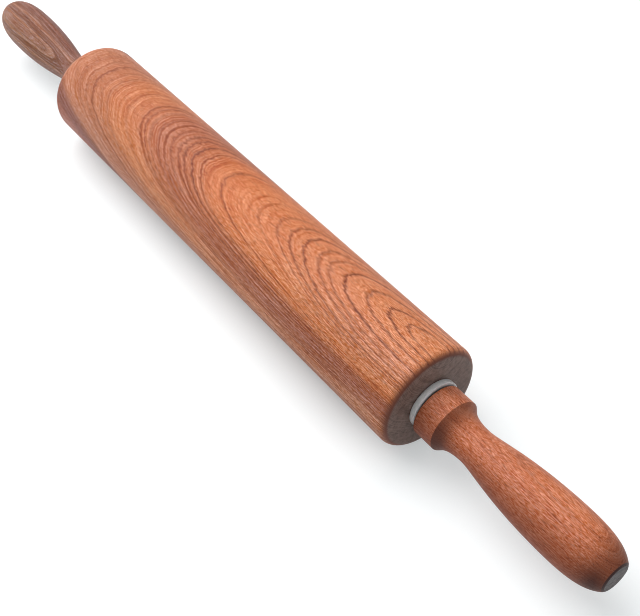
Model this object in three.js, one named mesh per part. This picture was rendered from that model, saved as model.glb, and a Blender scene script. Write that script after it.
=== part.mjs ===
// Wooden rolling pin: a bored hardwood roller that turns on a steel axle in two flanged nylon bushes,
// with a turned handle screwed onto each end of the axle. Millimetres, +Z up.
// +X runs along the roller's own axis, and the origin is the middle of the roller on that axis.
import * as THREE from "three";

// Roller
const ROLLER_LENGTH = 305;
const ROLLER_DIAMETER = 56;
const ROLLER_EDGE_RADIUS = 4.5;

// Steel axle: a plain rod with a smaller threaded end on each side
const AXLE_DIAMETER = 10;
const AXLE_TIP_CHAMFER = 1;
const THREAD_DIAMETER = 8;

// Nylon bushes, pressed into the roller's ends. The axle lies loose in them, on the bottom of the bore.
const AXLE_PLAY = 2.5;
const BUSH_WALL = 3.5;
const BUSH_SLEEVE_LENGTH = 24;
const BUSH_FLANGE_OVERHANG = 2.2;
const BUSH_FLANGE_THICKNESS = 3;
const BUSH_EDGE_RADIUS = 0.4;
const BUSH_RIM_WIDTH = 1.8;
const ROLLER_BORE_RELIEF = 1.2;

// Steel thrust washers, between each bush and its handle, in a recess inside the rim of the bush's flange
const WASHER_THICKNESS = 0.7;

// Handles: lengths are measured from the collar's face outwards
const COLLAR_DIAMETER = 27.6;
const COLLAR_LENGTH = 12.2;
const COLLAR_EDGE_CHAMFER = 0.6;
const COLLAR_BEVEL = 1.4;
const NECK_DIAMETER = 18.3;
const NECK_AT = 26;
const BELLY_DIAMETER = 27.8;
const BELLY_AT = 80;
const HANDLE_LENGTH = 107.5;
const HANDLE_END_DIAMETER = 14.4;
const HANDLE_END_CHAMFER = 0.7;

// Fullness of the handle's curves: where each curve's two inner control points lie along it, as shares
const COVE_PULL = [0.2, 0.6];
const SWELL_PULL = [0.13, 0.4];
const SHOULDER_PULL = [0.52, 0.79];
const SHOULDER_HEIGHT = 0.74;

// Brass threaded inserts, screwed into the handles to take the axle's threaded ends
const INSERT_WALL = 2;
const INSERT_LENGTH = 18;
const INSERT_FLANGE_OVERHANG = 2;
const INSERT_FLANGE_THICKNESS = 1.6;
const INSERT_RIDGE_DEPTH = 0.7;
const INSERT_RIDGE_PITCH = 3;
const THREAD_PAST_INSERT = 5;

// Clearances: between seated pieces, along the axle so that the roller turns freely, between the bush's rim
// and the collar, and at the end of a blind hole
const SEAT_GAP = 0.3;
const END_FLOAT = 0.3;
const COLLAR_GAP = 0.4;
const HOLE_END_GAP = 1;

// Sides of each round piece, and steps in each curve of a profile
const ROLLER_SIDES = 48;
const HANDLE_SIDES = 36;
const SMALL_SIDES = 36;
const CURVE_STEPS = 8;
const EDGE_STEPS = 3;

// Radii that follow from the fits
const axleRadius = AXLE_DIAMETER / 2;
const threadRadius = THREAD_DIAMETER / 2;
const bushBoreRadius = axleRadius + AXLE_PLAY;
const bushSleeveRadius = bushBoreRadius + BUSH_WALL;
const bushFlangeRadius = bushSleeveRadius + BUSH_FLANGE_OVERHANG;
const rollerBoreRadius = bushBoreRadius + ROLLER_BORE_RELIEF;
const insertBoreRadius = threadRadius + SEAT_GAP;
const insertRadius = insertBoreRadius + INSERT_WALL;
const insertFlangeRadius = insertRadius + INSERT_FLANGE_OVERHANG;

// How far the axle, with its handles, lies below the roller's axis at rest
const axleDrop = AXLE_PLAY - SEAT_GAP;

// The washer lies low in its recess, with the axle
const recessRadius = bushFlangeRadius - BUSH_RIM_WIDTH;
const washerRadius = recessRadius - axleDrop - SEAT_GAP;

// Places along the axle, from the roller's end face outwards
const rollerFaceX = ROLLER_LENGTH / 2;
const flangeBackX = rollerFaceX + SEAT_GAP;
const flangeFrontX = flangeBackX + BUSH_FLANGE_THICKNESS;
const collarX = flangeFrontX + COLLAR_GAP;
const shoulderX = collarX - SEAT_GAP;
const washerX = shoulderX - WASHER_THICKNESS;
const recessX = washerX - END_FLOAT;
const threadLength = INSERT_LENGTH + THREAD_PAST_INSERT + 2 * SEAT_GAP;

const SAPELE = { color: 0xb4623c, roughness: 0.55, metalness: 0 };
const NYLON = { color: 0xc9ced0, roughness: 0.45, metalness: 0 };
const STEEL = { color: 0xa8abae, roughness: 0.35, metalness: 1 };
const BRASS = { color: 0xb5a05a, roughness: 0.4, metalness: 1 };

// A solid turned about the X axis. The profile is a path of (x, radius), closed on itself or by the axis.
// A flat side of the solid faces straight down.
function turned(name, profile, sides, finish) {
  const points = profile.map((p) => new THREE.Vector2(p.y, p.x));
  if (THREE.ShapeUtils.area(points) < 0) points.reverse();
  const geometry = new THREE.LatheGeometry(points, sides, Math.PI / sides);
  geometry.rotateZ(-Math.PI / 2);
  const mesh = new THREE.Mesh(geometry, new THREE.MeshStandardMaterial(finish));
  mesh.name = name;
  return mesh;
}

// A closed section for a ring: a rectangle whose two outer corners are rounded.
function ringSection(x0, x1, inner, outer, edge) {
  const section = new THREE.Path();
  section.moveTo(x0, inner);
  section.lineTo(x0, outer - edge);
  section.quadraticCurveTo(x0, outer, x0 + edge, outer);
  section.lineTo(x1 - edge, outer);
  section.quadraticCurveTo(x1, outer, x1, outer - edge);
  section.lineTo(x1, inner);
  section.lineTo(x0, inner);
  return section;
}

// The roller: rounded ends, a bore all through, and a counterbore at each end for a bush's sleeve.
function makeRoller() {
  const radius = ROLLER_DIAMETER / 2;
  const edge = ROLLER_EDGE_RADIUS;
  const counterboreRadius = bushSleeveRadius + SEAT_GAP;
  const counterboreX = flangeBackX - BUSH_SLEEVE_LENGTH - SEAT_GAP;
  const section = new THREE.Path();
  section.moveTo(-rollerFaceX, counterboreRadius);
  section.lineTo(-rollerFaceX, radius - edge);
  section.absarc(-rollerFaceX + edge, radius - edge, edge, Math.PI, Math.PI / 2, true);
  section.lineTo(rollerFaceX - edge, radius);
  section.absarc(rollerFaceX - edge, radius - edge, edge, Math.PI / 2, 0, true);
  section.lineTo(rollerFaceX, counterboreRadius);
  section.lineTo(counterboreX, counterboreRadius);
  section.lineTo(counterboreX, rollerBoreRadius);
  section.lineTo(-counterboreX, rollerBoreRadius);
  section.lineTo(-counterboreX, counterboreRadius);
  section.lineTo(-rollerFaceX, counterboreRadius);
  return turned("roller", section.getPoints(EDGE_STEPS), ROLLER_SIDES, SAPELE);
}

// The axle: a plain rod between the two handles, then a threaded end with a chamfered tip.
function makeAxle() {
  const tipX = shoulderX + threadLength;
  const half = [
    [shoulderX, axleRadius],
    [shoulderX, threadRadius],
    [tipX - AXLE_TIP_CHAMFER, threadRadius],
    [tipX, threadRadius - AXLE_TIP_CHAMFER],
    [tipX, 0],
  ];
  const right = half.map(([x, r]) => new THREE.Vector2(x, r));
  const left = half.map(([x, r]) => new THREE.Vector2(-x, r)).reverse();
  return turned("axle_rod", [...left, ...right], SMALL_SIDES, STEEL);
}

// A flanged bush for the right end: the flange stands on the roller's face, with a recess for the washer in
// its front, and the sleeve goes inside the roller.
function bushSection() {
  const flange = ringSection(flangeBackX, flangeFrontX, recessRadius, bushFlangeRadius, BUSH_EDGE_RADIUS);
  const outside = flange.getPoints(EDGE_STEPS).slice(1, -1);
  const sleeveEndX = flangeBackX - BUSH_SLEEVE_LENGTH;
  return [
    new THREE.Vector2(sleeveEndX, bushBoreRadius),
    new THREE.Vector2(sleeveEndX, bushSleeveRadius),
    new THREE.Vector2(flangeBackX, bushSleeveRadius),
    ...outside,
    new THREE.Vector2(recessX, recessRadius),
    new THREE.Vector2(recessX, bushBoreRadius),
    new THREE.Vector2(sleeveEndX, bushBoreRadius),
  ];
}

function washerSection() {
  const inner = axleRadius + SEAT_GAP;
  const washer = new THREE.Path();
  washer.moveTo(washerX, inner);
  washer.lineTo(washerX, washerRadius);
  washer.lineTo(shoulderX, washerRadius);
  washer.lineTo(shoulderX, inner);
  washer.lineTo(washerX, inner);
  return washer.getPoints(EDGE_STEPS);
}

// A brass insert: a flange let into the collar's face, then a body with coarse ridges that bite the wood.
function insertSection() {
  const flangeEndX = collarX + INSERT_FLANGE_THICKNESS;
  const bodyEndX = collarX + INSERT_LENGTH;
  const ridges = Math.floor((INSERT_LENGTH - INSERT_FLANGE_THICKNESS) / INSERT_RIDGE_PITCH);
  const points = [
    [collarX, insertBoreRadius],
    [collarX, insertFlangeRadius],
    [flangeEndX, insertFlangeRadius],
  ];
  const root = insertRadius - INSERT_RIDGE_DEPTH;
  for (let i = 0; i < ridges; i++) {
    const x = flangeEndX + i * INSERT_RIDGE_PITCH;
    points.push([x, root]);
    points.push([x + INSERT_RIDGE_PITCH / 2, insertRadius]);
  }
  points.push([bodyEndX, root]);
  points.push([bodyEndX, insertBoreRadius]);
  points.push([collarX, insertBoreRadius]);
  return points.map(([x, r]) => new THREE.Vector2(x, r));
}

// The handle's outside: collar, bevel and cove down to the neck, a long swell to the belly, and a
// rounded shoulder that ends in a small flat face.
function handleOutside() {
  const collarRadius = COLLAR_DIAMETER / 2;
  const neckRadius = NECK_DIAMETER / 2;
  const bellyRadius = BELLY_DIAMETER / 2;
  const endRadius = HANDLE_END_DIAMETER / 2;
  const collarEndX = collarX + COLLAR_LENGTH;
  const bevelX = collarEndX + COLLAR_BEVEL;
  const neckX = collarX + NECK_AT;
  const bellyX = collarX + BELLY_AT;
  const endX = collarX + HANDLE_LENGTH;
  const cove = neckX - bevelX;
  const swell = bellyX - neckX;
  const shoulder = endX - bellyX;
  const outside = new THREE.Path();
  outside.moveTo(collarX, collarRadius - COLLAR_EDGE_CHAMFER);
  outside.lineTo(collarX + COLLAR_EDGE_CHAMFER, collarRadius);
  outside.lineTo(collarEndX, collarRadius);
  outside.lineTo(bevelX, collarRadius - COLLAR_BEVEL);
  outside.bezierCurveTo(
    bevelX + cove * COVE_PULL[0], collarRadius - COLLAR_BEVEL - cove * COVE_PULL[0],
    bevelX + cove * COVE_PULL[1], neckRadius,
    neckX, neckRadius,
  );
  outside.bezierCurveTo(
    neckX + swell * SWELL_PULL[0], neckRadius,
    neckX + swell * SWELL_PULL[1], bellyRadius,
    bellyX, bellyRadius,
  );
  outside.bezierCurveTo(
    bellyX + shoulder * SHOULDER_PULL[0], bellyRadius,
    bellyX + shoulder * SHOULDER_PULL[1], endRadius + (bellyRadius - endRadius) * SHOULDER_HEIGHT,
    endX - HANDLE_END_CHAMFER, endRadius + HANDLE_END_CHAMFER,
  );
  outside.lineTo(endX, endRadius);
  return outside.getPoints(CURVE_STEPS);
}

// The handle's whole profile: from the axis at the end of its blind hole, out past the seats of the axle's
// tip and the insert, over the outside, and back to the axis at the end face.
function handleProfile() {
  const outside = handleOutside();
  const tipHole = threadRadius + SEAT_GAP;
  const bodySeat = insertRadius + SEAT_GAP;
  const flangeSeat = insertFlangeRadius + SEAT_GAP;
  const holeEndX = shoulderX + threadLength + HOLE_END_GAP;
  const bodySeatX = collarX + INSERT_LENGTH + SEAT_GAP;
  const flangeSeatX = collarX + INSERT_FLANGE_THICKNESS + SEAT_GAP;
  const hole = [
    [holeEndX, 0],
    [holeEndX, tipHole],
    [bodySeatX, tipHole],
    [bodySeatX, bodySeat],
    [flangeSeatX, bodySeat],
    [flangeSeatX, flangeSeat],
    [collarX, flangeSeat],
  ].map(([x, r]) => new THREE.Vector2(x, r));
  const endFace = outside[outside.length - 1];
  return [...hole, ...outside, new THREE.Vector2(endFace.x, 0)];
}

// The same section on the left end of the pin.
function mirrored(profile) {
  return profile.map((p) => new THREE.Vector2(-p.x, p.y));
}

// A right and a left copy of a piece that both ends of the pin have.
function pair(name, profile, sides, finish) {
  return [
    turned(`right_${name}`, profile, sides, finish),
    turned(`left_${name}`, mirrored(profile), sides, finish),
  ];
}

const rollerGroup = new THREE.Group();
rollerGroup.add(makeRoller());
rollerGroup.add(...pair("bearing_bush", bushSection(), SMALL_SIDES, NYLON));

const axleGroup = new THREE.Group();
axleGroup.add(makeAxle());
axleGroup.add(...pair("thrust_washer", washerSection(), SMALL_SIDES, STEEL));
axleGroup.add(...pair("threaded_insert", insertSection(), SMALL_SIDES, BRASS));
axleGroup.add(...pair("handle", handleProfile(), HANDLE_SIDES, SAPELE));
axleGroup.position.z = -axleDrop;

const rollingPin = new THREE.Group();
rollingPin.add(rollerGroup, axleGroup);

export default rollingPin;
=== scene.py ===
"""Looks of a wooden rolling pin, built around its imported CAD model.

A sapele roller turns on a steel axle in two flanged nylon bushes, with a turned handle on each end.
Metres, in the frame of the CAD model: +X along the pin, +Z up, origin in the middle of the roller.
"""

import math

import bmesh
import bpy
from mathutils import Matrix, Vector

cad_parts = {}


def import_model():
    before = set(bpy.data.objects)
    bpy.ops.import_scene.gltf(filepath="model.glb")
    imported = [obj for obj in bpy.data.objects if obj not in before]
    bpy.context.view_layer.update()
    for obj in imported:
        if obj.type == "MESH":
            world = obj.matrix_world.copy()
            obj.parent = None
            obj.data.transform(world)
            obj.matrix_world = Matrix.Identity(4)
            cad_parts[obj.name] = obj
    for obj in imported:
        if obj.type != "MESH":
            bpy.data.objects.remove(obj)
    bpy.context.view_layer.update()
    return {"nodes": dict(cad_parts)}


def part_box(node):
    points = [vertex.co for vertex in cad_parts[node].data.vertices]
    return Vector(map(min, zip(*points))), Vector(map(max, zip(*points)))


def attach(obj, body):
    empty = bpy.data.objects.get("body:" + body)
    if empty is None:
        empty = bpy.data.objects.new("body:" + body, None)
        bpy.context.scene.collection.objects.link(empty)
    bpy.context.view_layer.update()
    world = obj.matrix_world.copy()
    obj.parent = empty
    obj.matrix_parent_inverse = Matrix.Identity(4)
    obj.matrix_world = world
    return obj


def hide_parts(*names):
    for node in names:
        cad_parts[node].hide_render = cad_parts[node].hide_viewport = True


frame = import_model()

MM = 0.001

# Roller and bush, in millimetres
ROLLER_EDGE_RADIUS = 4.5
ROLLER_BORE_DIAMETER = 17.4
BUSH_BORE_DIAMETER = 15.0
BUSH_SLEEVE_DIAMETER = 22.0
BUSH_FLANGE_DIAMETER = 26.4
BUSH_FLANGE_THICKNESS = 3.0
BUSH_EDGE_RADIUS = 0.4
BUSH_RIM_WIDTH = 1.8
BUSH_RECESS_DEPTH = 0.9
SEAT_GAP = 0.3
SEAT_CHAMFER = 0.3

# Handle, in millimetres from its collar's face outwards
COLLAR_DIAMETER = 27.6
COLLAR_LENGTH = 12.2
COLLAR_EDGE_RADIUS = 0.6
COLLAR_CREASE_RADIUS = 0.35
COLLAR_BEVEL = 1.4
NECK_DIAMETER = 18.3
NECK_AT = 26.0
BELLY_DIAMETER = 27.8
BELLY_AT = 80.0
HANDLE_LENGTH = 107.5
HANDLE_END_DIAMETER = 14.4
HANDLE_END_ROUND = 0.8

# Hole in the handle for the insert and the axle's tip: depth and diameter of each step, in millimetres
INSERT_FLANGE_SEAT = (1.9, 16.9)
INSERT_BODY_SEAT = (18.3, 12.9)
AXLE_TIP_HOLE = (24.3, 8.6)

# Where the two points that pull each of the handle's curves lie, as shares of its length or height
COVE_PULL = (0.2, 0.6)
SWELL_PULL = (0.13, 0.4)
SHOULDER_PULL = (0.52, 0.79)
SHOULDER_HEIGHT = 0.74
END_ROUND_PULL = (0.5, 0.3, 0.125)

# A face or side has one more ring of points this close to a rounded edge, in millimetres, to shade evenly
ROLLER_FACE_MARGIN = 0.4
ROLLER_SIDE_MARGIN = 0.6
BUSH_FACE_MARGIN = 0.1
COLLAR_FACE_MARGIN = 0.2
COLLAR_SIDE_MARGIN = 0.3
HANDLE_FACE_MARGIN = 0.3

# Fineness of the turned pieces: sides around, and steps along each edge and curve
ROLLER_SIDES = 192
BUSH_SIDES = 128
HANDLE_SIDES = 128
ROLLER_EDGE_STEPS = 14
ROLLER_SIDE_STEPS = 24
BUSH_EDGE_STEPS = 5
COLLAR_EDGE_STEPS = 6
COLLAR_CREASE_STEPS = 4
COVE_STEPS = 18
SWELL_STEPS = 36
SHOULDER_STEPS = 26
END_ROUND_STEPS = 6

# Turned meshes: points closer than this are welded, and an edge that turns more than this stays sharp
WELD_DISTANCE = 0.002 * MM
SHARP_ANGLE = math.radians(35)

# Camera, from the outline in the photograph: degrees, metres, and millimetres for lens and sensor
CAMERA_AZIMUTH = 58.23
CAMERA_ELEVATION = 41.59
CAMERA_DISTANCE = 0.5815
CAMERA_LENS = 61.62
CAMERA_SENSOR = 36.0
CAMERA_PAN_RIGHT = 3.893
CAMERA_TILT_DOWN = 4.758
CAMERA_NEAREST = 0.01

# Width of the pixel filter, narrower than Blender's own so that fine grain stays crisp
PIXEL_FILTER_WIDTH = 1.0

# Light: the strength of the sky behind the pin and in front of it
SKY_BEHIND = 0.45
SKY_IN_FRONT = 0.34

# Table, in metres: its glow for the camera, where that rises to white, and a painted shadow where the glow is
# dimmed in a strip under the roller
TABLE_REACH = 6.0
TABLE_TONE = 0.6
TABLE_GLOW = 0.485
TABLE_GLOW_COLOUR = "#f6fdff"
TABLE_WHITENS = (0.6, 1.6)
PAINTED_SHADOW_SHARE = 0.45
PAINTED_SHADOW_HALF_WIDTH = 0.055
PAINTED_SHADOW_FADES = (0.1, 0.17)

# Wood marks, length and width in millimetres: real fibres and pores are finer, drawn coarse here to show
SLOW_WAVE_SIZE = (60, 16)
FIBRE_SIZE = (7, 1.1)
PORE_SIZE = (5, 0.45)
END_SPECKLE_SIZE = (3, 3)
COMB_LENGTH = 40

# Wood noise: its middle, and the range that takes a mark from dark to pale or a pore from none to full
NOISE_MIDDLE = 0.5
COMB_RANGE = (0.38, 0.62)
DASH_RANGE = (0.32, 0.68)
PORE_RANGE = (0.56, 0.72)
END_RANGE = (0.25, 0.75)

# Wood growth: depths from the eye in millimetres, between which shells get packed and streaks change
PACKED_DEPTH = (22.0, 36.0)
COMB_CHANGE_DEPTH = (15.0, 45.0)

# Wood growth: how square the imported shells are, how much of the fray the streaks take, how a line fades
PACKED_POWER = 2.55
COMB_FRAY_SHARE = 0.4
LINE_FADE = 1.5

# Painted light and shade on the wood's front side: the places along the pin, in millimetres, between which it
# changes from left to right
PAINTED_SHADING_CHANGE = (-20, 130)

# Wood tint, on red, green and blue: pale fibres are less red than the wood around them, dark ones more
FIBRE_TINT = (0.76, 1.65, 2.75)

# Wood finish: a turn is how far the surface faces along the pin, 0 on its side and 1 on its flat ends
DASH_TURN = (0.1, 0.5)
DASH_END_SHARE = 0.3
PORE_COLOUR = "#4a2418"
# The rim's share away from the end and where it goes all round: oil-dark end grain, and painted shade in a
# handle's cove
RIM_START_SHARE = 0.7
RIM_SHARP_TURN = (0.6, 0.8)
END_STREAK_SHARE = 0.12
PORE_ROUGHNESS = 0.7
WOOD_IOR = 1.5
WOOD_SPECULAR = 0.25
WOOD_BUMP_STRENGTH = 0.4
WOOD_BUMP_HEIGHT = 0.1 * MM

# Nylon, with sizes in millimetres
NYLON_CLOUD_SIZE = 5
NYLON_CLOUD_RANGE = (0.35, 0.65)
NYLON_COLOURS = ("#e2eaef", "#f4f9fc")
NYLON_IOR = 1.53
NYLON_ROUGHNESS = 0.4
NYLON_LIGHT_DEPTH = 4

# Metals: the part of the noise that runs from dull to bright, and how much rougher the bright lines are
METAL_RANGE = (0.3, 0.7)
METAL_ROUGHER = 0.15


def linear(hex_colour):
    """A colour written as sRGB hex, as linear red, green, blue and alpha."""
    def channel(value):
        return value / 12.92 if value <= 0.04045 else ((value + 0.055) / 1.055) ** 2.4
    digits = hex_colour.lstrip("#")
    rgb = [channel(int(digits[i:i + 2], 16) / 255) for i in (0, 2, 4)]
    return (*rgb, 1.0)


def grey(value):
    """A linear grey."""
    return (value, value, value, 1.0)


def node(tree, kind, inputs=None, stops=None, **settings):
    """Adds a node with its settings. An input is a plain value, the socket that feeds it, or a node whose
    first output does. A Color Ramp takes its stops as pairs of place and linear colour.

    A Mix node's inputs are the share, 0, with two numbers, 2 and 3, or two colours, 6 and 7. Its mixed
    colour is output 2.
    """
    made = tree.nodes.new(kind)
    for name, value in settings.items():
        setattr(made, name, value)
    for key, value in (inputs or {}).items():
        if isinstance(value, bpy.types.Node):
            value = value.outputs[0]
        if isinstance(value, bpy.types.NodeSocket):
            tree.links.new(value, made.inputs[key])
        else:
            made.inputs[key].default_value = value
    if stops:
        elements = made.color_ramp.elements
        while len(elements) < len(stops):
            elements.new(1.0)
        for element, (place, colour) in zip(elements, stops):
            element.position = place
            element.color = colour
    return made


def new_material(name):
    """A material with nothing but the main shader in it."""
    material = bpy.data.materials.new(name)
    material.use_nodes = True
    tree = material.node_tree
    tree.nodes.clear()
    bsdf = node(tree, "ShaderNodeBsdfPrincipled")
    node(tree, "ShaderNodeOutputMaterial", {"Surface": bsdf.outputs[0]})
    return material, tree, bsdf


def cells(tree, place, size, **settings):
    """Noise in cells that lie along the pin or the log, of a length and a width in millimetres."""
    length, width = size
    space = node(tree, "ShaderNodeMapping", {
        "Vector": place, "Scale": (1 / (length * MM), 1 / (width * MM), 1 / (width * MM)),
    })
    return node(tree, "ShaderNodeTexNoise", {"Vector": space, "Scale": 1.0, **settings})


def growth_shells(tree, log, eye, draw_out, packed):
    """Depth of the growth shells, in millimetres from the eye: bowls drawn out along the pin. Where they are
    packed, the outer shells lie closer together and flatter along the side. Also gives the flank: 0 at the
    nose of a shell, where the pin cuts it at a slant, up to 1 along its sides."""
    spread = node(tree, "ShaderNodeMapping", {
        "Vector": log, "Location": tuple(-place * MM for place in eye),
    })
    parts = node(tree, "ShaderNodeSeparateXYZ", {0: spread})
    sideways = node(tree, "ShaderNodeCombineXYZ", {1: parts.outputs["Y"], 2: parts.outputs["Z"]})
    side = node(tree, "ShaderNodeVectorMath", {0: sideways}, operation="LENGTH").outputs["Value"]
    side = node(tree, "ShaderNodeMath", {0: side, 1: 1 / MM}, operation="MULTIPLY")
    ahead = node(tree, "ShaderNodeMath", {0: parts.outputs["X"]}, operation="ABSOLUTE")
    ahead = node(tree, "ShaderNodeMath", {0: ahead, 1: draw_out / MM}, operation="MULTIPLY")
    both = node(tree, "ShaderNodeCombineXYZ", {0: ahead, 1: side})
    round_depth = node(tree, "ShaderNodeVectorMath", {0: both}, operation="LENGTH").outputs["Value"]
    flank = node(tree, "ShaderNodeMath", {0: side, 1: round_depth}, operation="DIVIDE")
    if not packed:
        return round_depth, flank
    ahead_power = node(tree, "ShaderNodeMath", {0: ahead, 1: PACKED_POWER}, operation="POWER")
    closer = node(tree, "ShaderNodeMath", {0: side, 1: packed}, operation="MULTIPLY")
    side_power = node(tree, "ShaderNodeMath", {0: closer, 1: PACKED_POWER}, operation="POWER")
    total = node(tree, "ShaderNodeMath", {0: ahead_power, 1: side_power}, operation="ADD")
    flat_depth = node(tree, "ShaderNodeMath", {0: total, 1: 1 / PACKED_POWER}, operation="POWER")
    share = node(tree, "ShaderNodeMapRange", {
        "Value": round_depth, "From Min": PACKED_DEPTH[0], "From Max": PACKED_DEPTH[1],
    }, interpolation_type="SMOOTHSTEP")
    depth = node(tree, "ShaderNodeMix", {0: share, 2: round_depth, 3: flat_depth})
    return depth.outputs[0], flank


def frayed_shells(tree, log, look):
    """The growth shells, bent by slow waves and frayed along the fibres: their depth, a less frayed depth for
    the combed streaks, and the flank."""
    wave = cells(tree, log, SLOW_WAVE_SIZE, Detail=1.0).outputs["Color"]
    wave = node(tree, "ShaderNodeVectorMath", {0: wave, 1: (NOISE_MIDDLE,) * 3}, operation="SUBTRACT")
    sway = tuple(size * MM for size in look["sway"])
    bent = node(tree, "ShaderNodeVectorMath", {0: wave, 1: sway, 2: log}, operation="MULTIPLY_ADD")
    depth, flank = growth_shells(tree, bent, look["eye"], look["draw_out"], look["packed"])
    fibre = cells(tree, log, FIBRE_SIZE, Detail=1.0)
    fray = node(tree, "ShaderNodeMath", {0: fibre, 1: NOISE_MIDDLE}, operation="SUBTRACT")
    comb_depth = node(tree, "ShaderNodeMath", {
        0: fray, 1: look["fray"] * COMB_FRAY_SHARE, 2: depth,
    }, operation="MULTIPLY_ADD")
    depth = node(tree, "ShaderNodeMath", {0: fray, 1: look["fray"], 2: depth}, operation="MULTIPLY_ADD")
    return depth, comb_depth, flank


def zone_colour(tree, depth, along, front, look):
    """The wood's colour by depth, times painted light and shade that grows from the top of the piece to its
    front side and changes from left to right."""
    reach = look["zones"][-1][0]
    place = node(tree, "ShaderNodeMath", {0: depth, 1: 1 / reach}, operation="MULTIPLY")
    zone = node(tree, "ShaderNodeValToRGB", {"Fac": place},
                stops=[(at / reach, linear(colour)) for at, colour in look["zones"]])
    to_right = node(tree, "ShaderNodeMapRange", {
        "Value": along, "From Min": PAINTED_SHADING_CHANGE[0] * MM, "From Max": PAINTED_SHADING_CHANGE[1] * MM,
    }, interpolation_type="SMOOTHSTEP")
    # Painted light and shade: the front side is tinted lighter or darker by the look, differently at the left
    # and the right
    left_painted_shading, right_painted_shading = ((*colour, 1.0) for colour in look["painted_front_shading"])
    painted_front_shading = node(tree, "ShaderNodeMix", {
        0: to_right, 6: left_painted_shading, 7: right_painted_shading,
    }, data_type="RGBA").outputs[2]
    painted_front_shading = node(tree, "ShaderNodeMix", {0: front, 6: grey(1.0), 7: painted_front_shading}, data_type="RGBA").outputs[2]
    return node(tree, "ShaderNodeVectorMath", {0: zone, 1: painted_front_shading}, operation="MULTIPLY")


def combed_tone(tree, comb_depth, along, flank, look):
    """Fine combed streaks that follow the shells, closer in depth at the noses than along the flanks. They
    run from -1, dark, to 1, pale."""
    comb_along = node(tree, "ShaderNodeMath", {0: along, 1: 1 / (COMB_LENGTH * MM)}, operation="MULTIPLY")
    tones = []
    for comb_size in look["comb"]:
        comb_across = node(tree, "ShaderNodeMath", {0: comb_depth, 1: 1 / comb_size}, operation="MULTIPLY")
        comb_place = node(tree, "ShaderNodeCombineXYZ", {0: comb_across, 1: comb_along})
        comb = node(tree, "ShaderNodeTexNoise", {
            "Vector": comb_place, "Scale": 1.0, "Detail": 1.0, "Roughness": 0.6,
        })
        tones.append(node(tree, "ShaderNodeMapRange", {
            "Value": comb, "From Min": COMB_RANGE[0], "From Max": COMB_RANGE[1], "To Min": -1.0,
        }))
    return node(tree, "ShaderNodeMix", {0: flank, 2: tones[0], 3: tones[1]})


def tinted(tree, colour, swing):
    """The colour made paler or darker by the swing, which runs either side of 0."""
    shade = node(tree, "ShaderNodeVectorMath", {
        0: swing, 1: FIBRE_TINT, 2: (1.0, 1.0, 1.0),
    }, operation="MULTIPLY_ADD")
    return node(tree, "ShaderNodeVectorMath", {0: colour, 1: shade}, operation="MULTIPLY")


def with_streaks(tree, wood, depth, tone, look):
    """Combed streaks on the wood, of another strength near the eye than far from it."""
    strength = node(tree, "ShaderNodeMapRange", {
        "Value": depth, "From Min": COMB_CHANGE_DEPTH[0], "From Max": COMB_CHANGE_DEPTH[1],
        "To Min": look["comb_depth"][0], "To Max": look["comb_depth"][1],
    })
    swing = node(tree, "ShaderNodeMath", {0: tone, 1: strength}, operation="MULTIPLY")
    return tinted(tree, wood, swing)


def with_season_lines(tree, wood, depth, flank, look):
    """Dark lines at the end of each season, every one at its own depth and strength, that fade fast to both
    sides."""
    reach = node(tree, "ShaderNodeMapRange", {
        "Value": flank, "To Min": look["line_width"][0], "To Max": look["line_width"][1],
    })
    line = 0.0
    for line_depth, strength in look["lines"]:
        past = node(tree, "ShaderNodeMath", {0: depth, 1: line_depth}, operation="SUBTRACT")
        away = node(tree, "ShaderNodeMath", {0: past}, operation="ABSOLUTE")
        mark = node(tree, "ShaderNodeMapRange", {
            "Value": away, "From Max": reach, "To Min": strength ** (1 / LINE_FADE), "To Max": 0.0,
        })
        line = node(tree, "ShaderNodeMath", {0: line, 1: mark}, operation="MAXIMUM")
    line = node(tree, "ShaderNodeMath", {0: line, 1: LINE_FADE}, operation="POWER")
    colour = linear(look["line_colour"])
    return node(tree, "ShaderNodeMix", {0: line, 6: wood, 7: colour}, data_type="RGBA").outputs[2]


def with_dashes(tree, wood, dash, turn, look):
    """Dark and pale dashes where fibres are cut, softer where they are cut end on."""
    strength = node(tree, "ShaderNodeMapRange", {
        "Value": turn, "From Min": DASH_TURN[0], "From Max": DASH_TURN[1],
        "To Min": 1.0, "To Max": DASH_END_SHARE,
    })
    swing = node(tree, "ShaderNodeMapRange", {
        "Value": dash, "From Min": DASH_RANGE[0], "From Max": DASH_RANGE[1],
        "To Min": -look["dash_depth"], "To Max": look["dash_depth"],
    })
    swing = node(tree, "ShaderNodeMath", {0: swing, 1: strength}, operation="MULTIPLY")
    return tinted(tree, wood, swing)


def with_pores(tree, wood, pore, look):
    """Dark pores in the wood."""
    share = node(tree, "ShaderNodeMath", {0: pore, 1: look["pore_depth"]}, operation="MULTIPLY")
    colour = linear(PORE_COLOUR)
    return node(tree, "ShaderNodeMix", {0: share, 6: wood, 7: colour}, data_type="RGBA").outputs[2]


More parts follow.
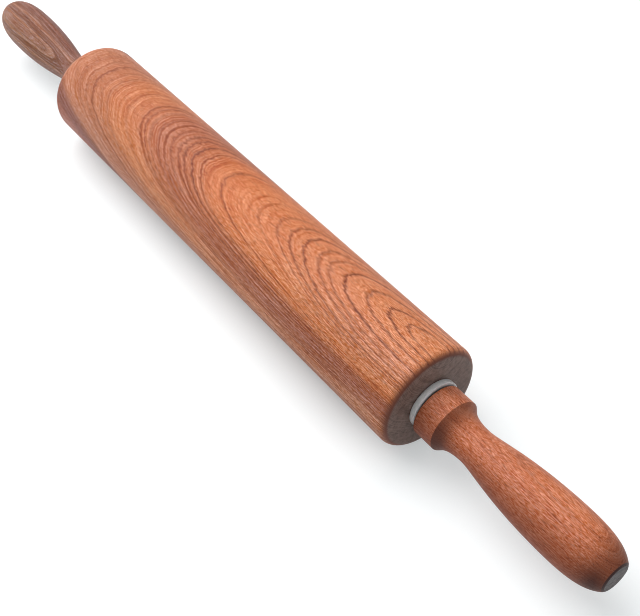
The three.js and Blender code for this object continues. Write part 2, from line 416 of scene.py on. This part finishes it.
def with_oiled_rim_and_painted_shade(tree, wood, turn, along, front, look):
    """Where the surface turns to the end grain it drinks the oil and darkens, and the same rim also paints
    shade on the front side and, on a handle, over its cove and shoulder. The rim is full towards the piece's
    end and on its front side, and all round where the surface turns sharply."""
    rim = node(tree, "ShaderNodeMapRange", {
        "Value": turn, "From Min": look["rim_turn"][0], "From Max": look["rim_turn"][1],
    }, interpolation_type="SMOOTHSTEP")
    outwards = node(tree, "ShaderNodeMath", {0: along}, operation="ABSOLUTE")
    near_end = node(tree, "ShaderNodeMapRange", {
        "Value": outwards, "From Min": look["rim_reach"][0] * MM, "From Max": look["rim_reach"][1] * MM,
        "To Min": RIM_START_SHARE,
    })
    rim = node(tree, "ShaderNodeMath", {0: rim, 1: near_end}, operation="MULTIPLY")
    # Painted shade: the rim is fuller on the front side
    around = node(tree, "ShaderNodeMapRange", {"Value": front, "To Min": look["rim_back"]})
    sharp = node(tree, "ShaderNodeMapRange", {
        "Value": turn, "From Min": RIM_SHARP_TURN[0], "From Max": RIM_SHARP_TURN[1],
    })
    around = node(tree, "ShaderNodeMath", {0: around, 1: sharp}, operation="MAXIMUM")
    rim = node(tree, "ShaderNodeMath", {0: rim, 1: around}, operation="MULTIPLY")
    colour = linear(look["rim"])
    return node(tree, "ShaderNodeMix", {0: rim, 6: wood, 7: colour}, data_type="RGBA").outputs[2]


def with_end_grain(tree, wood, log, turn, tone, look):
    """The flat end: dark end grain, with a grey that is partly a painted sheen, speckled with cut pores and
    faintly streaked.
    """
    speckle = cells(tree, log, END_SPECKLE_SIZE, Detail=4.0, Roughness=0.7)
    shade = node(tree, "ShaderNodeMath", {0: tone, 1: END_STREAK_SHARE, 2: speckle}, operation="MULTIPLY_ADD")
    colour = node(tree, "ShaderNodeValToRGB", {"Fac": shade},
                  stops=[(at, linear(end)) for at, end in zip(END_RANGE, look["end"])])
    share = node(tree, "ShaderNodeMapRange", {
        "Value": turn, "From Min": look["end_turn"][0], "From Max": look["end_turn"][1],
    })
    return node(tree, "ShaderNodeMix", {0: share, 6: wood, 7: colour}, data_type="RGBA").outputs[2]


def satin_oil(tree, bsdf, pore, dash, look):
    """Satin oil over sanded wood, duller and lower in the pores."""
    roughness = node(tree, "ShaderNodeMapRange", {
        "Value": pore, "To Min": look["rough"], "To Max": PORE_ROUGHNESS,
    })
    tree.links.new(roughness.outputs[0], bsdf.inputs["Roughness"])
    bsdf.inputs["IOR"].default_value = WOOD_IOR
    bsdf.inputs["Specular IOR Level"].default_value = WOOD_SPECULAR
    height = node(tree, "ShaderNodeMath", {0: pore, 1: -1.0, 2: dash}, operation="MULTIPLY_ADD")
    bump = node(tree, "ShaderNodeBump", {
        "Height": height, "Strength": WOOD_BUMP_STRENGTH, "Distance": WOOD_BUMP_HEIGHT,
    })
    tree.links.new(bump.outputs[0], bsdf.inputs["Normal"])


def sapele(name, look):
    """Sapele, turned, sanded and oiled: red-brown shells of growth with thin dark lines between them, short
    dark and pale dashes where the fibres and pores are cut, a satin face, and dark, thirsty end grain."""
    material, tree, bsdf = new_material(name)
    coords = node(tree, "ShaderNodeTexCoord").outputs
    log = node(tree, "ShaderNodeMapping", {"Vector": coords["Object"], "Rotation": look["lean"]})
    parts = node(tree, "ShaderNodeSeparateXYZ", {0: log}).outputs
    along = parts["X"]
    front = node(tree, "ShaderNodeMapRange", {
        "Value": parts["Y"], "From Min": look["painted_shading_from"] * MM, "From Max": look["painted_shading_to"] * MM,
    }, interpolation_type="SMOOTHSTEP")
    facing = node(tree, "ShaderNodeSeparateXYZ", {0: coords["Normal"]}).outputs["X"]
    turn = node(tree, "ShaderNodeMath", {0: facing}, operation="ABSOLUTE")

    # Growth, fibres and pores
    depth, comb_depth, flank = frayed_shells(tree, log, look)
    tone = combed_tone(tree, comb_depth, along, flank, look)
    dash = cells(tree, log, look["dash"], Detail=1.0)
    pore = cells(tree, log, PORE_SIZE, Detail=1.0)
    pore = node(tree, "ShaderNodeMapRange", {
        "Value": pore, "From Min": PORE_RANGE[0], "From Max": PORE_RANGE[1],
    })

    # Colour, one mark over the other
    wood = zone_colour(tree, depth, along, front, look)
    wood = with_streaks(tree, wood, depth, tone, look)
    wood = with_season_lines(tree, wood, depth, flank, look)
    wood = with_dashes(tree, wood, dash, turn, look)
    wood = with_pores(tree, wood, pore, look)
    wood = with_oiled_rim_and_painted_shade(tree, wood, turn, along, front, look)
    wood = with_end_grain(tree, wood, log, turn, tone, look)
    tree.links.new(wood, bsdf.inputs["Base Color"])
    satin_oil(tree, bsdf, pore, dash, look)
    return material


def nylon():
    """Moulded natural nylon: milky grey-white with a soft skin gloss and faint cloudiness."""
    material, tree, bsdf = new_material("moulded_natural_nylon")
    coords = node(tree, "ShaderNodeTexCoord").outputs["Object"]
    cloud = cells(tree, coords, (NYLON_CLOUD_SIZE, NYLON_CLOUD_SIZE), Detail=2.0)
    tone = node(tree, "ShaderNodeValToRGB", {"Fac": cloud},
                stops=[(at, linear(colour)) for at, colour in zip(NYLON_CLOUD_RANGE, NYLON_COLOURS)])
    tree.links.new(tone.outputs["Color"], bsdf.inputs["Base Color"])
    bsdf.inputs["IOR"].default_value = NYLON_IOR
    bsdf.inputs["Roughness"].default_value = NYLON_ROUGHNESS
    bsdf.inputs["Subsurface Weight"].default_value = 1.0
    bsdf.inputs["Subsurface Radius"].default_value = (1.0, 1.0, 1.0)
    bsdf.inputs["Subsurface Scale"].default_value = NYLON_LIGHT_DEPTH * MM
    return material


def metal(name, dull_hex, bright_hex, mark_size, rough):
    """A bare metal, bright with marks of how it was made, along or around the piece. Real marks are finer,
    and are drawn coarse here so that they show. The mark's length and width are in millimetres."""
    material, tree, bsdf = new_material(name)
    coords = node(tree, "ShaderNodeTexCoord").outputs["Object"]
    marks = cells(tree, coords, mark_size, Detail=2.0)
    tone = node(tree, "ShaderNodeValToRGB", {"Fac": marks},
                stops=[(at, linear(colour)) for at, colour in zip(METAL_RANGE, (dull_hex, bright_hex))])
    tree.links.new(tone.outputs["Color"], bsdf.inputs["Base Color"])
    gloss = node(tree, "ShaderNodeMapRange", {
        "Value": marks, "To Min": rough, "To Max": rough + METAL_ROUGHER,
    })
    tree.links.new(gloss.outputs[0], bsdf.inputs["Roughness"])
    bsdf.inputs["Metallic"].default_value = 1.0
    return material


def lathe_tree():
    """A Geometry Nodes tree that turns a profile about the X axis: the profile's points, joined in a line,
    become rings of the given number of sides, lowered by the axis drop."""
    tree = bpy.data.node_groups.new("lathe", "GeometryNodeTree")
    tree.interface.new_socket("Profile", in_out="INPUT", socket_type="NodeSocketGeometry")
    tree.interface.new_socket("Sides", in_out="INPUT", socket_type="NodeSocketInt")
    tree.interface.new_socket("Axis drop", in_out="INPUT", socket_type="NodeSocketFloat")
    tree.interface.new_socket("Material", in_out="INPUT", socket_type="NodeSocketMaterial")
    tree.interface.new_socket("Turned piece", in_out="OUTPUT", socket_type="NodeSocketGeometry")
    given = node(tree, "NodeGroupInput").outputs

    # A flat grid with one row for each point of the profile
    count = node(tree, "GeometryNodeAttributeDomainSize", {"Geometry": given["Profile"]}, component="MESH")
    columns = node(tree, "FunctionNodeIntegerMath", {0: given["Sides"], 1: 1}, operation="ADD")
    grid = node(tree, "GeometryNodeMeshGrid", {
        "Vertices X": count.outputs["Point Count"], "Vertices Y": columns,
    })
    index = node(tree, "GeometryNodeInputIndex")
    row = node(tree, "FunctionNodeIntegerMath", {0: index, 1: columns}, operation="DIVIDE_FLOOR")
    step = node(tree, "FunctionNodeIntegerMath", {0: index, 1: columns}, operation="FLOORED_MODULO")

    # Each row is rolled round the axis at its point of the profile
    point = node(tree, "GeometryNodeSampleIndex", {
        "Geometry": given["Profile"], "Value": node(tree, "GeometryNodeInputPosition"), "Index": row,
    }, data_type="FLOAT_VECTOR", domain="POINT")
    turn = node(tree, "ShaderNodeMath", {0: step, 1: math.tau}, operation="MULTIPLY")
    angle = node(tree, "ShaderNodeMath", {0: turn, 1: given["Sides"]}, operation="DIVIDE")
    turned = node(tree, "ShaderNodeVectorRotate", {
        "Vector": point.outputs["Value"], "Angle": angle,
    }, rotation_type="X_AXIS")
    drop = node(tree, "ShaderNodeCombineXYZ", {"Z": given["Axis drop"]})
    lowered = node(tree, "ShaderNodeVectorMath", {0: turned, 1: drop}, operation="SUBTRACT")
    moved = node(tree, "GeometryNodeSetPosition", {"Geometry": grid, "Position": lowered})

    # The seam and the poles are closed
    closed = node(tree, "GeometryNodeMergeByDistance", {"Geometry": moved, "Distance": WELD_DISTANCE})
    smooth = node(tree, "GeometryNodeSetShadeSmooth", {"Geometry": closed})
    realized = node(tree, "GeometryNodeRealizeInstances", {"Geometry": smooth})
    coated = node(tree, "GeometryNodeSetMaterial", {"Geometry": realized, "Material": given["Material"]})
    node(tree, "NodeGroupOutput", {"Turned piece": coated})
    return tree


LATHE = lathe_tree()


def turned_piece(name, profile, sides, drop, material):
    """A piece turned on the lathe from a profile of (x, radius) in millimetres, as a plain mesh."""
    outline = bpy.data.meshes.new(name + "_profile")
    points = [(x * MM, 0.0, r * MM) for x, r in profile]
    outline.from_pydata(points, [(i, i + 1) for i in range(len(points) - 1)], [])
    blank = bpy.data.objects.new(name + "_blank", outline)
    bpy.context.scene.collection.objects.link(blank)
    modifier = blank.modifiers.new("lathe", "NODES")
    modifier.node_group = LATHE
    values = {"Sides": sides, "Axis drop": drop * MM, "Material": material}
    for socket in LATHE.interface.items_tree:
        if socket.in_out == "INPUT" and socket.name in values:
            modifier[socket.identifier] = values[socket.name]
    graph = bpy.context.evaluated_depsgraph_get()
    mesh = bpy.data.meshes.new_from_object(blank.evaluated_get(graph), depsgraph=graph)
    bpy.data.objects.remove(blank)
    shape = bmesh.new()
    shape.from_mesh(mesh)
    bmesh.ops.recalc_face_normals(shape, faces=shape.faces)
    shape.to_mesh(mesh)
    shape.free()
    mesh.set_sharp_from_angle(angle=SHARP_ANGLE)
    piece = bpy.data.objects.new(name, mesh)
    bpy.context.scene.collection.objects.link(piece)
    return piece


def arc(x, r, radius, start, end, steps):
    """Points on an arc about (x, r), from one angle to another in degrees; 0 is along +X, 90 outwards."""
    angles = [math.radians(start + (end - start) * i / steps) for i in range(steps + 1)]
    return [(x + radius * math.cos(a), r + radius * math.sin(a)) for a in angles]


def curve(a, b, c, d, steps):
    """Points on a cubic curve from a to d, pulled towards b and c."""
    points = []
    for i in range(steps + 1):
        t = i / steps
        weights = ((1 - t) ** 3, 3 * t * (1 - t) ** 2, 3 * t * t * (1 - t), t ** 3)
        points.append(tuple(sum(w * p[k] for w, p in zip(weights, (a, b, c, d))) for k in (0, 1)))
    return points


def mirrored(profile):
    """The same profile at the other end of the pin."""
    return [(-x, r) for x, r in profile]


def roller_profile(half_length, radius, sleeve_end):
    """The roller's bore and outside from the middle to the right end and back, and the same mirrored."""
    edge = ROLLER_EDGE_RADIUS
    bore = ROLLER_BORE_DIAMETER / 2
    seat = BUSH_SLEEVE_DIAMETER / 2 + SEAT_GAP
    side_end = half_length - edge - ROLLER_SIDE_MARGIN
    right = [
        (0.0, bore),
        (sleeve_end, bore),
        (sleeve_end, seat),
        (half_length - SEAT_CHAMFER, seat),
        (half_length, seat + SEAT_CHAMFER),
        (half_length, radius - edge - ROLLER_FACE_MARGIN),
        *arc(half_length - edge, radius - edge, edge, 0, 90, ROLLER_EDGE_STEPS),
        *((side_end * (1 - i / ROLLER_SIDE_STEPS), radius) for i in range(ROLLER_SIDE_STEPS + 1)),
    ]
    return right + mirrored(right[-2::-1])


def bush_profile(face, sleeve_end):
    """The bush at the +X end: a sleeve with a rounded flange that stands on the roller's end, and a recess
    for the thrust washer in the flange's front."""
    bore = BUSH_BORE_DIAMETER / 2
    sleeve = BUSH_SLEEVE_DIAMETER / 2
    flange = BUSH_FLANGE_DIAMETER / 2
    recess = flange - BUSH_RIM_WIDTH
    edge = BUSH_EDGE_RADIUS
    back = face + SEAT_GAP
    front = back + BUSH_FLANGE_THICKNESS
    return [
        (sleeve_end, bore),
        (sleeve_end, sleeve),
        (back, sleeve),
        (back, flange - edge),
        *arc(back + edge, flange - edge, edge, 180, 90, BUSH_EDGE_STEPS),
        *arc(front - edge, flange - edge, edge, 90, 0, BUSH_EDGE_STEPS),
        (front, flange - edge - BUSH_FACE_MARGIN),
        (front, recess),
        (front - BUSH_RECESS_DEPTH, recess),
        (front - BUSH_RECESS_DEPTH, bore),
        (sleeve_end, bore),
    ]


def handle_hole(start):
    """The blind hole in the handle's collar, from its bottom to the collar's face."""
    tip, tip_radius = start + AXLE_TIP_HOLE[0], AXLE_TIP_HOLE[1] / 2
    body, body_radius = start + INSERT_BODY_SEAT[0], INSERT_BODY_SEAT[1] / 2
    flange, flange_radius = start + INSERT_FLANGE_SEAT[0], INSERT_FLANGE_SEAT[1] / 2
    return [
        (tip, 0.0),
        (tip, tip_radius),
        (body, tip_radius),
        (body, body_radius),
        (flange, body_radius),
        (flange, flange_radius),
        (start, flange_radius),
    ]


def handle_profile(start):
    """The handle at the +X end, from the bottom of its blind hole, round the outside, to its end face."""
    collar = COLLAR_DIAMETER / 2
    neck = NECK_DIAMETER / 2
    belly = BELLY_DIAMETER / 2
    end = HANDLE_END_DIAMETER / 2
    edge = COLLAR_EDGE_RADIUS
    crease = COLLAR_CREASE_RADIUS
    end_round = HANDLE_END_ROUND

    # Places along the handle, and the lengths of its three curves
    collar_end = start + COLLAR_LENGTH
    bevel_end = collar_end + COLLAR_BEVEL
    bevel_foot = collar - COLLAR_BEVEL
    neck_x = start + NECK_AT
    belly_x = start + BELLY_AT
    end_x = start + HANDLE_LENGTH
    cove = neck_x - bevel_end
    swell = belly_x - neck_x
    shoulder = end_x - belly_x
    return [
        *handle_hole(start),
        (start, collar - edge - COLLAR_FACE_MARGIN),
        *arc(start + edge, collar - edge, edge, 180, 90, COLLAR_EDGE_STEPS),
        (start + edge + COLLAR_SIDE_MARGIN, collar),
        (collar_end - crease - COLLAR_SIDE_MARGIN, collar),
        *arc(collar_end - crease, collar - crease, crease, 90, 45, COLLAR_CREASE_STEPS),
        *curve((bevel_end, bevel_foot),
               (bevel_end + cove * COVE_PULL[0], bevel_foot - cove * COVE_PULL[0]),
               (bevel_end + cove * COVE_PULL[1], neck),
               (neck_x, neck), COVE_STEPS),
        *curve((neck_x, neck),
               (neck_x + swell * SWELL_PULL[0], neck),
               (neck_x + swell * SWELL_PULL[1], belly),
               (belly_x, belly), SWELL_STEPS)[1:],
        *curve((belly_x, belly),
               (belly_x + shoulder * SHOULDER_PULL[0], belly),
               (belly_x + shoulder * SHOULDER_PULL[1], end + (belly - end) * SHOULDER_HEIGHT),
               (end_x - end_round, end + end_round), SHOULDER_STEPS)[1:],
        *curve((end_x - end_round, end + end_round),
               (end_x - end_round * END_ROUND_PULL[0], end + end_round * END_ROUND_PULL[1]),
               (end_x, end - end_round * END_ROUND_PULL[2]),
               (end_x, end - end_round), END_ROUND_STEPS)[1:],
        (end_x, end - end_round - HANDLE_FACE_MARGIN),
        (end_x, 0.0),
    ]


# Sizes read from the CAD frame, in millimetres
roller_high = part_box("roller")[1]
half_roller = roller_high.x / MM
roller_radius = roller_high.z / MM
bush_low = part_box("right_bearing_bush")[0]
bush_sleeve_end = bush_low.x / MM
handle_low, handle_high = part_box("right_handle")
handle_start = handle_low.x / MM
axle_drop = -(handle_low.z + handle_high.z) / 2 / MM

# Wood of the roller: its cathedral grain has its eye near the right end, a little off the top
ROLLER_LOOK = {
    # Cut from the log: the lean, the eye of the growth, how drawn out its bowls are and how packed outside
    "lean": (0.0, 0.0, math.radians(-1.8)),
    "eye": (150.0, 0.8, 27.6),
    "draw_out": 0.256,
    "packed": 1.45,
    # How far the shells sway along, across and up, and how far their edges fray, in millimetres
    "sway": (8.0, 2.0, 2.0),
    "fray": 1.5,
    # Painted light and shade towards the front, from one Y to another in millimetres, at the left and the
    # right; on the roller a paler, bluer painted reflection of the white table
    "painted_shading_from": -8.0,
    "painted_shading_to": -24.0,
    "painted_front_shading": ((1.12, 1.33, 1.62), (0.95, 1.13, 1.45)),
    # Colour at each depth from the eye, in millimetres
    "zones": [
        (0, "#cb8057"), (10, "#ca7d53"), (17, "#c77951"), (26, "#c37347"), (38, "#c26e3f"), (42, "#bc693c"),
        (45, "#b0643d"), (50, "#a8603f"), (54, "#a45d3e"), (57, "#b16640"), (63, "#ba6e43"), (70, "#ab6643"),
        (78, "#ae6b4b"), (80, "#864a35"), (83, "#7e4535"), (86, "#954f37"), (96, "#9e593e"), (110, "#9c5a41"),
    ],
    # Season lines: depth and strength of each, half their width at a nose and along a flank, and their colour
    "lines": [
        (5.3, 0.85), (8.5, 0.95), (12.1, 0.75), (16.2, 0.95), (18.9, 0.6), (21.0, 0.65), (23.7, 0.85),
        (26.2, 0.7), (28.6, 0.55), (32.1, 0.3), (39.8, 0.65), (44.4, 0.55), (46.3, 0.9), (48.0, 0.7),
        (49.2, 0.7), (51.0, 0.5), (52.6, 0.5), (54.2, 0.5), (56.2, 0.5), (57.5, 0.6), (58.5, 0.6),
        (62.0, 0.3), (66.7, 0.4), (68.3, 0.35), (70.4, 0.65), (72.1, 0.35), (74.0, 0.3),
    ],
    "line_width": (0.48, 0.85),
    "line_colour": "#672108",
    # Combed streaks: width at a nose and along a flank, and strength near the eye and far from it
    "comb": (0.16, 0.45),
    "comb_depth": (0.14, 0.32),
    # Fibre dashes: length and width in millimetres, and strength; then the strength of the pores
    "dash": (2.2, 0.38),
    "dash_depth": 0.32,
    "pore_depth": 0.5,
    # Rim of oil-dark end grain, and painted shade where it is full on the front side: colour, the turn that
    # brings it, where along the pin it fills, and its share at the back
    "rim": "#6e3d2d",
    "rim_turn": (0.4, 0.9),
    "rim_reach": (140.0, 146.0),
    "rim_back": 1.0,
    # Flat end: dark and pale colour, its grey partly a painted sheen, and the turn that brings it
    "end": ("#5e4a42", "#947e75"),
    "end_turn": (0.86, 0.97),
    # Roughness of the oil
    "rough": 0.5,
}

# Wood of the near handle: plain side grain, with painted shade on its front side, and dark at its end from
# thirsty end grain and painted shade
RIGHT_LOOK = {
    **ROLLER_LOOK,
    "lean": (0.0, math.radians(3), 0.0),
    "eye": (300.0, 8.0, 8.0),
    "draw_out": 0.08,
    "packed": 0.0,
    "painted_shading_from": -4.0,
    "painted_shading_to": -13.0,
    # Painted shade: the front side of the near handle is darker
    "painted_front_shading": ((0.68, 0.64, 0.6), (0.68, 0.64, 0.6)),
    # The outer zones lie on the handle's front and underside, and are darker partly as painted shade
    "zones": [
        (0, "#c87553"), (6, "#c4724f"), (10, "#cb7a55"), (16, "#bc6d4b"), (22, "#be6f4e"), (30, "#aa5c3d"),
    ],
    "lines": [(3.0, 0.4), (6.5, 0.35), (9.0, 0.3), (13.0, 0.35), (18.0, 0.3)],
    "comb_depth": (0.16, 0.16),
    "dash": (2.0, 0.34),
    "dash_depth": 0.38,
    # Very dark rim: thirsty end grain, and painted shade over the cove, the shoulder and the front side
    "rim": "#32100a",
    "rim_turn": (0.04, 0.5),
    "rim_reach": (222.0, 246.0),
    "rim_back": 0.55,
    # Grey flat end: dark end grain with a painted sheen
    "end": ("#332d2d", "#6a6161"),
    "end_turn": (0.95, 0.995),
}

# Wood of the far handle: darker and streakier, with painted light on its front side, and greyer at its end
# with a painted sheen
LEFT_LOOK = {
    **RIGHT_LOOK,
    "lean": (0.0, 0.0, 0.0),
    "eye": (-228.0, -10.0, 7.0),
    "draw_out": 0.07,
    "sway": (8.0, 5.0, 5.0),
    # Painted light: the front side of the far handle is paler
    "painted_front_shading": ((1.22, 1.5, 1.65), (1.22, 1.5, 1.65)),
    "zones": [
        (0, "#774938"), (2, "#845440"), (4, "#8d5d47"), (6, "#724637"), (9, "#8b5b45"), (12, "#744636"),
        (15, "#804d3b"), (19, "#6b3e33"), (24, "#794637"), (30, "#714233"),
    ],
    "lines": [(2.6, 0.45), (5.0, 0.5), (7.5, 0.45), (10.5, 0.4), (13.5, 0.4), (17.0, 0.35)],
    "line_colour": "#45241d",
    "comb": (0.5, 0.75),
    "comb_depth": (0.34, 0.34),
    "dash_depth": 0.42,
    # Greyer rim on the far handle: end grain with a painted sheen
    "rim": "#6f564c",
    "rim_turn": (0.25, 0.85),
    "rim_back": 1.0,
}

roller_wood = sapele("sapele_roller_oiled", ROLLER_LOOK)
right_wood = sapele("sapele_right_handle_oiled", RIGHT_LOOK)
left_wood = sapele("sapele_left_handle_oiled", LEFT_LOOK)
bush_nylon = nylon()

# Roller
roller_outline = roller_profile(half_roller, roller_radius, bush_sleeve_end - SEAT_GAP)
roller = turned_piece("roller_turned", roller_outline, ROLLER_SIDES, 0.0, roller_wood)
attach(roller, "roller")
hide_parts("roller")

# Bush and handle at each end
for side, wood in (("right", right_wood), ("left", left_wood)):
    bush_outline = bush_profile(half_roller, bush_sleeve_end)
    handle_outline = handle_profile(handle_start)
    if side == "left":
        bush_outline = mirrored(bush_outline)
        handle_outline = mirrored(handle_outline)
    bush = turned_piece(side + "_bush_turned", bush_outline, BUSH_SIDES, 0.0, bush_nylon)
    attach(bush, "roller")
    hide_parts(side + "_bearing_bush")
    handle = turned_piece(side + "_handle_turned", handle_outline, HANDLE_SIDES, axle_drop, wood)
    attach(handle, "axle")
    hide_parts(side + "_handle")

# Metal pieces keep their CAD shape: long lines on the rod, spangle on the washers, rings on the inserts
METAL_FINISHES = {
    "axle_rod": metal("drawn_steel", "#8f9294", "#c2c5c7", (30, 0.3), 0.25),
    "thrust_washer": metal("zinc_plated_steel", "#8c9196", "#bcc1c4", (1.5, 1.5), 0.35),
    "threaded_insert": metal("turned_brass", "#a98a45", "#cdb268", (0.3, 20), 0.3),
}
for cad_name, cad_object in frame["nodes"].items():
    for ending, finish in METAL_FINISHES.items():
        if cad_name.endswith(ending):
            cad_object.data.materials.clear()
            cad_object.data.materials.append(finish)


def camera():
    """The photograph's camera. It stands on a line from the middle of the roller and looks past it, turned
    by the pan and the tilt."""
    azimuth = math.radians(CAMERA_AZIMUTH)
    elevation = math.radians(CAMERA_ELEVATION)
    back = Vector((
        math.sin(azimuth) * math.cos(elevation),
        -math.cos(azimuth) * math.cos(elevation),
        math.sin(elevation),
    ))
    right = (-back).cross(Vector((0, 0, 1))).normalized()
    up = right.cross(-back)
    pan = right * math.tan(math.radians(CAMERA_PAN_RIGHT))
    tilt = up * math.tan(math.radians(CAMERA_TILT_DOWN))
    aim = -back + pan - tilt
    data = bpy.data.cameras.new("camera")
    data.sensor_width = CAMERA_SENSOR
    data.lens = CAMERA_LENS
    data.clip_start = CAMERA_NEAREST
    eye = bpy.data.objects.new("camera", data)
    eye.location = back * CAMERA_DISTANCE
    eye.rotation_euler = aim.to_track_quat("-Z", "Y").to_euler()
    bpy.context.scene.collection.objects.link(eye)
    bpy.context.scene.camera = eye


def table_finish():
    """Matt white table. For the camera it glows too, so that it ends in white far away, and less in a strip
    under the roller, which paints a deeper shadow there."""
    material = bpy.data.materials.new("white_table")
    material.use_nodes = True
    tree = material.node_tree
    tree.nodes.clear()
    matt = node(tree, "ShaderNodeBsdfDiffuse", {"Color": grey(TABLE_TONE)})
    path = node(tree, "ShaderNodeLightPath").outputs
    seen = node(tree, "ShaderNodeMath", {
        0: path["Is Camera Ray"], 1: path["Is Glossy Ray"],
    }, operation="MAXIMUM")
    place = node(tree, "ShaderNodeTexCoord").outputs["Object"]
    away = node(tree, "ShaderNodeVectorMath", {0: place}, operation="LENGTH").outputs["Value"]
    strength = node(tree, "ShaderNodeMapRange", {
        "Value": away, "From Min": TABLE_WHITENS[0], "From Max": TABLE_WHITENS[1],
        "To Min": TABLE_GLOW, "To Max": 1.0,
    })
    # Painted shadow: the glow dims in a strip beside and under the roller, and fades out past its ends
    spot = node(tree, "ShaderNodeSeparateXYZ", {0: place}).outputs
    aside = node(tree, "ShaderNodeMath", {0: spot["Y"]}, operation="ABSOLUTE")
    along = node(tree, "ShaderNodeMath", {0: spot["X"]}, operation="ABSOLUTE")
    beside = node(tree, "ShaderNodeMapRange", {
        "Value": aside, "From Max": PAINTED_SHADOW_HALF_WIDTH, "To Min": PAINTED_SHADOW_SHARE,
    }, interpolation_type="SMOOTHSTEP")
    past_end = node(tree, "ShaderNodeMapRange", {
        "Value": along, "From Min": PAINTED_SHADOW_FADES[0], "From Max": PAINTED_SHADOW_FADES[1],
    }, interpolation_type="SMOOTHSTEP")
    painted_shadow = node(tree, "ShaderNodeMix", {0: past_end, 2: beside, 3: 1.0})
    strength = node(tree, "ShaderNodeMath", {0: strength, 1: painted_shadow}, operation="MULTIPLY")
    strength = node(tree, "ShaderNodeMath", {0: seen, 1: strength}, operation="MULTIPLY")
    glow = node(tree, "ShaderNodeEmission", {"Color": linear(TABLE_GLOW_COLOUR), "Strength": strength})
    both = node(tree, "ShaderNodeAddShader", {0: matt, 1: glow})
    node(tree, "ShaderNodeOutputMaterial", {"Surface": both})
    return material


def floor(level):
    """A wide table under the pin."""
    mesh = bpy.data.meshes.new("floor")
    signs = ((-1, -1), (1, -1), (1, 1), (-1, 1))
    corners = [(x * TABLE_REACH, y * TABLE_REACH, level) for x, y in signs]
    mesh.from_pydata(corners, [], [(0, 1, 2, 3)])
    mesh.materials.append(table_finish())
    table = bpy.data.objects.new("floor", mesh)
    bpy.context.scene.collection.objects.link(table)


def area_light(name, place, size, power):
    """A soft box that shines on the middle of the roller."""
    data = bpy.data.lights.new(name, "AREA")
    data.shape = "RECTANGLE"
    data.size, data.size_y = size
    data.energy = power
    lamp = bpy.data.objects.new(name, data)
    lamp.location = place
    lamp.rotation_euler = (-Vector(place)).to_track_quat("-Z", "Y").to_euler()
    bpy.context.scene.collection.objects.link(lamp)


def world():
    """White behind everything for the camera, and for the light a soft grey sky, brighter behind the pin."""
    sky = bpy.data.worlds.new("studio")
    sky.use_nodes = True
    tree = sky.node_tree
    tree.nodes.clear()
    path = node(tree, "ShaderNodeLightPath").outputs
    seen = node(tree, "ShaderNodeMath", {
        0: path["Is Camera Ray"], 1: path["Is Glossy Ray"],
    }, operation="MAXIMUM")
    seen = node(tree, "ShaderNodeMath", {0: seen, 1: path["Is Transmission Ray"]}, operation="MAXIMUM")
    direction = node(tree, "ShaderNodeSeparateXYZ", {0: node(tree, "ShaderNodeTexCoord")})
    sky_light = node(tree, "ShaderNodeMapRange", {
        "Value": direction.outputs["X"], "From Min": -1.0, "From Max": 1.0,
        "To Min": SKY_BEHIND, "To Max": SKY_IN_FRONT,
    })
    soft = node(tree, "ShaderNodeBackground", {"Color": grey(1.0), "Strength": sky_light})
    white = node(tree, "ShaderNodeBackground", {"Color": grey(1.0), "Strength": 1.0})
    mixed = node(tree, "ShaderNodeMixShader", {0: seen, 1: soft, 2: white})
    node(tree, "ShaderNodeOutputWorld", {"Surface": mixed})
    bpy.context.scene.world = sky


camera()
floor(-roller_radius * MM)
world()
area_light("key", place=(-0.65, -0.1, 1.1), size=(1.6, 1.3), power=23.0)
area_light("fill", place=(-0.9, -0.8, 0.5), size=(1.0, 0.8), power=1.5)
bpy.context.scene.view_settings.view_transform = "Standard"
bpy.context.scene.cycles.filter_width = PIXEL_FILTER_WIDTH
